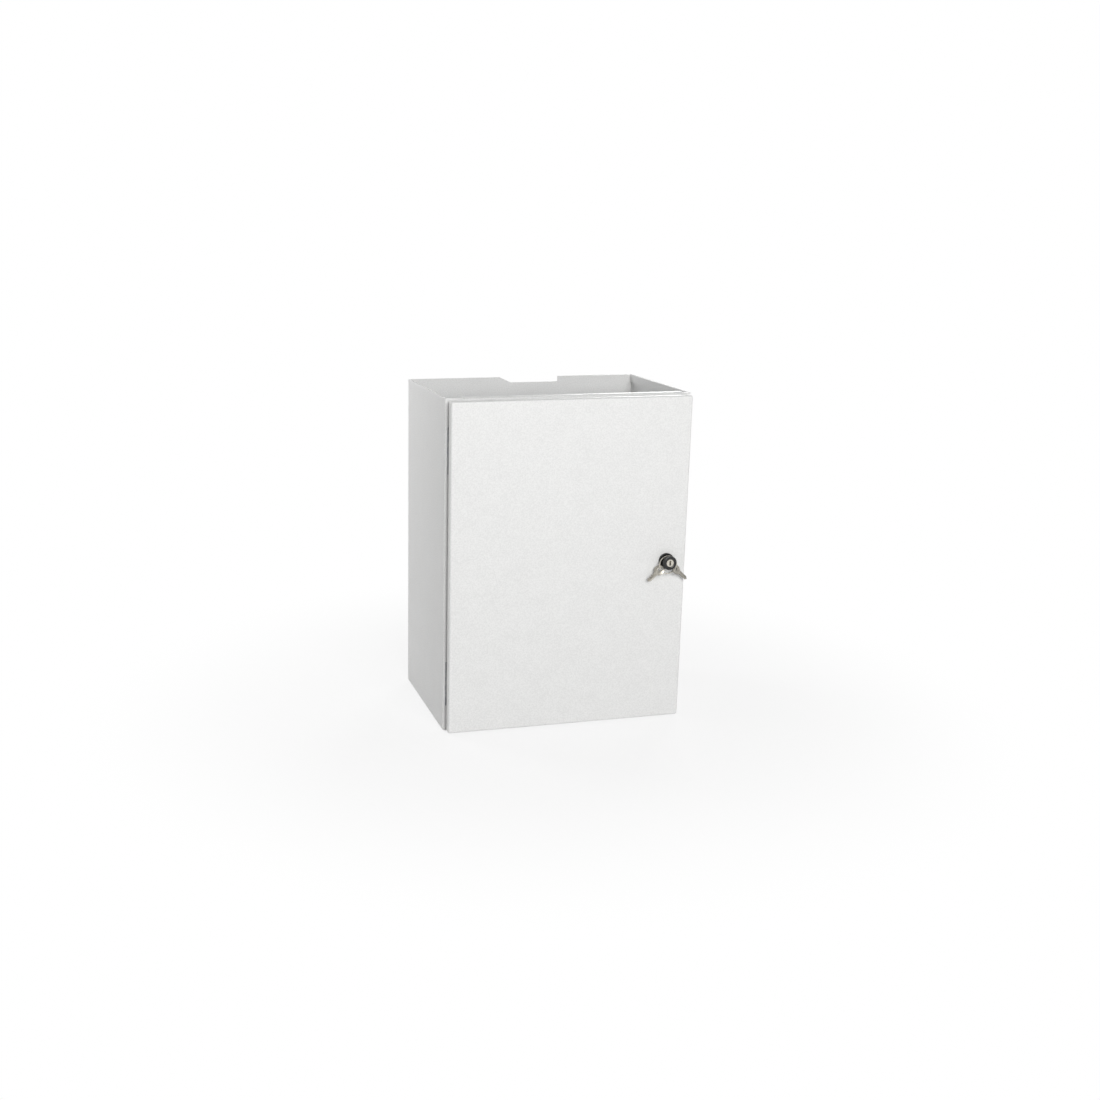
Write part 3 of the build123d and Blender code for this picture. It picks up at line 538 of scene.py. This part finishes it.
# Lock plug and split ring: the plug is milled brass and the ring is wound spring wire, both nickel plated.
# The cam on the plug's end is held by a rounded socket screw of zinc plated steel.

# Nickel is a warm bright metal with hairline scratches, drawn 0.8 mm apart so that they show
nickel_plated_brass, tree, shader, place = finish_named("nickel_plated_brass", metallic=1.0)
scratch = add(tree, "ShaderNodeTexNoise", {"Vector": place, "Scale": every(0.8), "Detail": 4.0})
tint = add(
    tree, "ShaderNodeValToRGB", {"Fac": scratch.outputs["Fac"]}, stops=((0.3, "#B9B4A9"), (0.7, "#DAD6CC")),
)
tree.links.new(tint.outputs["Color"], shader.inputs["Base Color"])
rough = add(tree, "ShaderNodeMapRange", {"Value": scratch.outputs["Fac"], "To Min": 0.18, "To Max": 0.36})
tree.links.new(rough.outputs["Result"], shader.inputs["Roughness"])
coat(nickel_plated_brass, "lock_plug")

low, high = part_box("cam_screw")
shank = [(1.7, 0.0), (2.0, 0.3), (2.0, 9.3)]
head = [(3.9, 9.3), (4.0, 9.45), (4.0, 10.3), (3.75, 10.95), (3.2, 11.5), (2.6, 11.85), (2.3, 11.9)]
socket = [lambda angle: (hexagon(2.6, angle), 11.9), lambda angle: (hexagon(2.5, angle), 10.3)]
made(
    "socket_cam_screw", "lock", zinc_plated_steel, ["cam_screw"], into_case,
    [((low.x + high.x) / 2, low.y, 0.0)], turned(shank + head + socket, False),
)

# The ring is 1.2 mm wide wire wound twice round, with a short step where one turn climbs onto the other
low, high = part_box("key_ring")
ring_centre = ((low.x + high.x) / 2, (low.y + high.y) / 2, (low.z + high.z) / 2)
wire_half = 0.6
wire_middle = (high.x - low.x) * 1000 / 2 - wire_half
wire_section = [(-wire_half, -0.2), (-0.45, -0.34), (0.45, -0.34), (wire_half, -0.2)]
wire_section += [(wire_half, 0.2), (0.45, 0.34), (-0.45, 0.34), (-wire_half, 0.2)]
wire_rows, climb_rows, climb_height = 128, 6, 0.35
wire_sides = len(wire_section)
ring_points, ring_faces = [], []
for row in range(wire_rows + 1):
    angle = math.pi / 2 + 4 * math.pi * row / wire_rows
    climb = min(max((row - wire_rows / 2) / climb_rows, -1.0), 1.0) * climb_height
    for out, along in wire_section:
        radius = (wire_middle + out) / 1000
        ring_points.append((radius * math.cos(angle), radius * math.sin(angle), (along + climb) / 1000))
for row in range(wire_rows):
    low_row, high_row = row * wire_sides, (row + 1) * wire_sides
    for side in range(wire_sides):
        after = (side + 1) % wire_sides
        ring_faces.append((low_row + side, high_row + side, high_row + after, low_row + after))
ring_faces.append(tuple(range(wire_sides)))
ring_faces.append(tuple(reversed(range(wire_rows * wire_sides, (wire_rows + 1) * wire_sides))))
made(
    "wound_split_ring", "keys", nickel_plated_brass, ["key_ring"], out_of_wall,
    [ring_centre], (ring_points, ring_faces),
)


# Keys: stamped from flat nickel silver, with a round bow, a hole for the ring, a milled groove on each face
# and three cuts. They hang on the ring, fanned apart and turned so that the ring runs through their holes.

# Nickel silver that has been handled is greyer than plate, with smears about 4 mm wide
stamped_nickel_silver, tree, shader, place = finish_named("stamped_nickel_silver", metallic=1.0)
smear = add(tree, "ShaderNodeTexNoise", {"Vector": place, "Scale": every(4), "Detail": 4.0})
tint = add(
    tree, "ShaderNodeValToRGB", {"Fac": smear.outputs["Fac"]}, stops=((0.3, "#85827B"), (0.7, "#ABA79E")),
)
tree.links.new(tint.outputs["Color"], shader.inputs["Base Color"])
rough = add(tree, "ShaderNodeMapRange", {"Value": smear.outputs["Fac"], "To Min": 0.22, "To Max": 0.4})
tree.links.new(rough.outputs["Result"], shader.inputs["Roughness"])

# Sizes in mm, along the key from the middle of the lock
key_fan, key_tilt = math.radians(48), math.radians(40)
bow_centre, bow_radius, bow_steps = 14.7, 6.2, 40
hole_centre, hole_radius = 12.7, 2.6
key_tip, key_point, blade_half, key_thickness = 33.5, 2.2, 2.5, 1.4
tip_half, cut_pitch, cut_depth = 0.3, 3.0, 1.0
neck = math.asin(blade_half / bow_radius)
outline = []
for step in range(bow_steps + 1):
    angle = neck + (2 * math.pi - 2 * neck) * step / bow_steps
    outline.append((bow_centre + bow_radius * math.cos(angle), bow_radius * math.sin(angle)))
for cut in (2, 1, 0):
    root = key_tip - key_point - (cut + 0.5) * cut_pitch
    outline += [(root - cut_depth, -blade_half), (root, -blade_half + cut_depth)]
    outline.append((root + cut_depth, -blade_half))
point_start = key_tip - key_point
outline += [(point_start, -blade_half), (key_tip, -tip_half), (key_tip, tip_half), (point_start, blade_half)]
key_hole = circle(hole_centre, 0.0, hole_radius)
key_points, key_faces = cut_sheet([outline, key_hole], key_thickness, edge=0.15)

# The cutter of each groove is a bar that flares outward, from the bow's foot to past the tip
groove_start, groove_end = 21.5, key_tip + 1.0
groove_section = ((0.2, 0.35), (1.1, 0.35), (1.4, 1.0), (-0.1, 1.0))
bar_sides = [(0, 1, 2, 3), (7, 6, 5, 4), (4, 5, 1, 0), (5, 6, 2, 1), (6, 7, 3, 2), (7, 4, 0, 3)]
groove_points, groove_faces = [], []
for face in (-1, 1):
    first = len(groove_points)
    for x in (groove_start, groove_end):
        for y, z in groove_section:
            groove_points.append((x / 1000, y / 1000, face * z / 1000))
    for side in bar_sides:
        groove_faces.append(tuple(first + corner for corner in (side if face < 0 else reversed(side))))

blank_mesh, groove_mesh = bpy.data.meshes.new("key_blank"), bpy.data.meshes.new("key_groove")
blank_mesh.from_pydata(key_points, [], key_faces)
groove_mesh.from_pydata(groove_points, [], groove_faces)
blank, groove = bpy.data.objects.new("key_blank", blank_mesh), bpy.data.objects.new("key_groove", groove_mesh)
for holder in (blank, groove):
    bpy.context.scene.collection.objects.link(holder)
milling = blank.modifiers.new("milling", "BOOLEAN")
milling.object = groove
milling.operation = "DIFFERENCE"
milling.solver = "EXACT"
milled = bpy.data.meshes.new_from_object(blank.evaluated_get(bpy.context.evaluated_depsgraph_get()))
milled_points = [vertex.co.copy() for vertex in milled.vertices]
milled_key = milled_points, [tuple(face.vertices) for face in milled.polygons]
bpy.data.objects.remove(blank)
bpy.data.objects.remove(groove)

low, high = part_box("lock_plug")
key_place = [((low.x + high.x) / 2, ring_centre[1], 0.0)]
for name, side in (("key_left", -1), ("key_right", 1)):
    along = Vector((side * math.sin(key_fan), 0.0, -math.cos(key_fan)))
    out = Vector((
        side * math.sin(key_tilt) * math.cos(key_fan),
        -math.cos(key_tilt),
        math.sin(key_tilt) * math.sin(key_fan),
    ))
    set_of_key = Matrix((along, out.cross(along), out)).transposed().to_4x4()
    made(
        "stamped_" + name, "keys", stamped_nickel_silver, [name], set_of_key,
        key_place, milled_key,
    )


# Floor: a plain pale sheet of paper that carries the box and a soft trace of its shadow.
# Away from the box it fades into the white surround.

floor_mesh = bpy.data.meshes.new("floor")
reach = 6.0
floor_level = cad_box[0].z
sheet_corners = ((-reach, -reach), (reach, -reach), (reach, reach), (-reach, reach))
floor_mesh.from_pydata([(x, y, floor_level) for x, y in sheet_corners], [], [(0, 1, 2, 3)])
floor = bpy.data.objects.new("floor", floor_mesh)
bpy.context.scene.collection.objects.link(floor)


def seen_directly(tree):
    """One where the camera or a glossy reflection looks, and nought where light falls."""
    light_path = add(tree, "ShaderNodeLightPath")
    rays = {0: light_path.outputs["Is Camera Ray"], 1: light_path.outputs["Is Glossy Ray"]}
    return add(tree, "ShaderNodeMath", rays, operation="MAXIMUM").outputs[0]


# White paper shows partly as paper round the box, where the shadow lies, and as plain white 0.6 m away
white_paper, tree, shader, place = finish_named("white_paper", roughness=0.9)
shader.inputs["Base Color"].default_value = linear("#F0F0F0")
glow = add(tree, "ShaderNodeEmission", {"Color": linear("#FFFFFF"), "Strength": 1.0})
seen = seen_directly(tree)
box_foot = (0.0, -0.1, floor_level)
away = add(tree, "ShaderNodeVectorMath", {0: place, 1: box_foot}, operation="DISTANCE")
white = add(
    tree, "ShaderNodeMapRange",
    {"Value": away.outputs["Value"], "From Min": 0.2, "From Max": 0.6, "To Min": 0.8, "To Max": 1.0},
    interpolation_type="SMOOTHSTEP",
)
share = add(tree, "ShaderNodeMath", {0: seen, 1: white.outputs["Result"]}, operation="MULTIPLY")
blend = add(
    tree, "ShaderNodeMixShader",
    {"Fac": share.outputs[0], 1: shader.outputs["BSDF"], 2: glow.outputs["Emission"]},
)
tree.links.new(blend.outputs["Shader"], tree.nodes["Material Output"].inputs["Surface"])
floor_mesh.materials.append(white_paper)


# Studio: a white surround, a large soft lamp in front, a small one near the left side and one behind
# on the right.

world = bpy.data.worlds.new("studio")
bpy.context.scene.world = world
world.use_nodes = True
tree = world.node_tree
surround = tree.nodes["Background"]
surround.inputs["Color"].default_value = linear("#FFFFFF")
seen = seen_directly(tree)
# As a light, the surround is a wall round the table, dimmer towards the ceiling. It is seen as plain white.
looking = add(tree, "ShaderNodeSeparateXYZ", {"Vector": add(tree, "ShaderNodeTexCoord").outputs["Generated"]})
wall = add(
    tree, "ShaderNodeMapRange",
    {"Value": looking.outputs["Z"], "From Max": 0.8, "To Min": 0.34, "To Max": 0.1},
)
strength = add(tree, "ShaderNodeMapRange", {"Value": seen, "To Min": wall.outputs["Result"], "To Max": 1.0})
tree.links.new(strength.outputs["Result"], surround.inputs["Strength"])


def soft_lamp(name, place, aim, width, watts):
    """A square area lamp that points from its place to its aim."""
    lamp = bpy.data.lights.new(name, "AREA")
    lamp.size = width
    lamp.energy = watts
    lamp_object = bpy.data.objects.new(name, lamp)
    lamp_object.location = place
    direction = Vector([a - p for a, p in zip(aim, place)])
    lamp_object.rotation_euler = direction.to_track_quat("-Z", "Y").to_euler()
    bpy.context.scene.collection.objects.link(lamp_object)


soft_lamp("front_lamp", place=(0.0, -2.1, 0.8), aim=(0.0, -0.1, 0.0), width=1.0, watts=29.5)
soft_lamp("left_lamp", place=(-0.62, 0.42, 0.5), aim=(-0.1, -0.05, 0.05), width=0.35, watts=3.1)
soft_lamp("rear_lamp", place=(1.3, 1.9, 0.8), aim=(0.1, -0.05, 0.0), width=1.0, watts=24.0)


# Camera: the photograph's angle, from the left and above. Its small shift takes a little of the lean out of
# the door's sides.

camera_data = bpy.data.cameras.new("photograph_view")
camera_data.sensor_width = 36.0
camera_data.lens = 44.19
camera_data.shift_x = 0.1
camera = bpy.data.objects.new("photograph_view", camera_data)
camera.location = (-0.5254, -1.6556, 0.4026)
camera.rotation_euler = Euler([math.radians(turn) for turn in (75.994, -0.392, -14.067)])
bpy.context.scene.collection.objects.link(camera)
bpy.context.scene.camera = camera
bpy.context.scene.view_settings.view_transform = "Standard"
